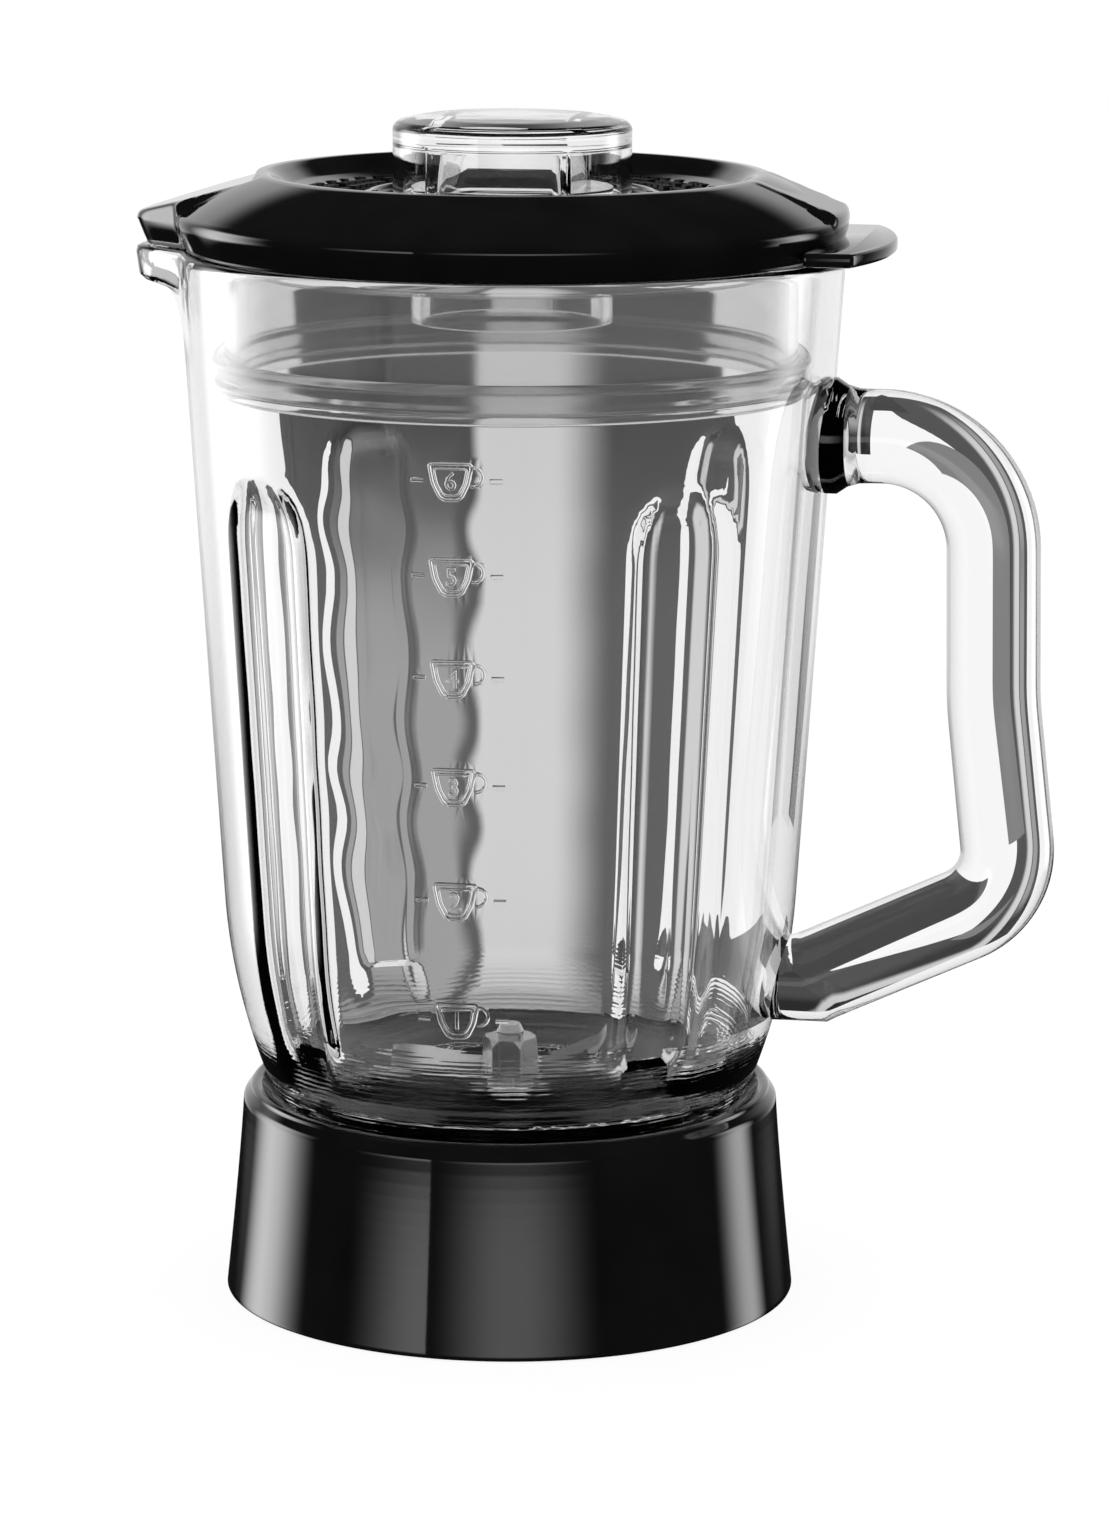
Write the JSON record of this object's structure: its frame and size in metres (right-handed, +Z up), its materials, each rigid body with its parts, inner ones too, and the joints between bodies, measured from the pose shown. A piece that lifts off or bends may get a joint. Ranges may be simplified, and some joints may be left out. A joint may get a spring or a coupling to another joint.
{
  "type": "glass blender jug",
  "caption": "Fluted glass blender jug with a D handle and pouring lip on a black drive collar, with spinning blade unit, lift-off lid and clear measuring cup.",
  "frame": {"origin": "centre of the collar's round mouth, in the plane that the collar stands on", "axes": "+Z up along the jug's axis; +X towards the glass handle; -X towards the pouring lip; the graduations face -Y"},
  "size_m": [0.2005, 0.1444, 0.258],
  "materials": {
    "gloss_black": "high gloss moulded ABS",
    "matt_black": "fine moulded texture",
    "grey_plastic": "satin moulded polypropylene",
    "jug_glass": "clear pressed glass with soft mould waves",
    "clear_plastic": "clear polished SAN plastic",
    "steel": "turned stainless steel",
    "blade_steel": "ground and brushed stainless steel",
    "bronze": "sintered bronze",
    "rubber": "matt silicone rubber",
    "coupler_rubber": "hard moulded rubber"
  },
  "bodies": {
    "collar": {"base_collar": "gloss_black", "lock_ring": "grey_plastic", "lock_ring_screws": "steel"},
    "carrier": {"blade_carrier": "matt_black", "upper_bush": "bronze", "lower_bush": "bronze", "shaft_seal": "rubber", "seal_cover": "steel"},
    "rotor": {"blade_shaft": "steel", "hub_collar": "steel", "lower_blades": "blade_steel", "blade_spacer": "steel", "upper_blades": "blade_steel", "blade_washer": "steel", "blade_nut": "steel", "thrust_washer": "bronze", "circlip": "steel", "coupler_insert": "steel", "drive_coupler": "coupler_rubber"},
    "seal": {"jug_seal": "rubber"},
    "jug": {"glass_jug": "jug_glass"},
    "lid": {"lid_cover": "gloss_black", "lid_skirt": "grey_plastic", "lid_gasket": "rubber"},
    "cup": {"measuring_cup": "clear_plastic"}
  },
  "joints": [
    {"name": "jug_lift", "type": "slide", "parent": "collar", "child": "seal", "axis": [0, 0, 1], "range_m": [0, 0.0721]},
    {"name": "jug_turn", "type": "hinge", "parent": "seal", "child": "jug", "pos_m": [0, 0, 0.0245], "axis": [0, 0, 1], "range_deg": [0, 1080]},
    {"name": "carrier_lift", "type": "slide", "parent": "collar", "child": "carrier", "axis": [0, 0, 1], "range_m": [0, 0.0451]},
    {"name": "blade_spin", "type": "hinge", "parent": "carrier", "child": "rotor", "pos_m": [0, 0, 0.03], "axis": [0, 0, 1], "continuous": true},
    {"name": "lid_lift", "type": "slide", "parent": "jug", "child": "lid", "axis": [0, 0, 1], "range_m": [0, 0.05]},
    {"name": "cup_lift", "type": "slide", "parent": "lid", "child": "cup", "axis": [0, 0, 1], "range_m": [0, 0.045]}
  ],
  "couplings": [
    {"joint": "jug_lift", "follows": "jug_turn", "m_per_rad": 0.0038197},
    {"joint": "carrier_lift", "follows": "jug_turn", "m_per_rad": 0.0023873}
  ]
}
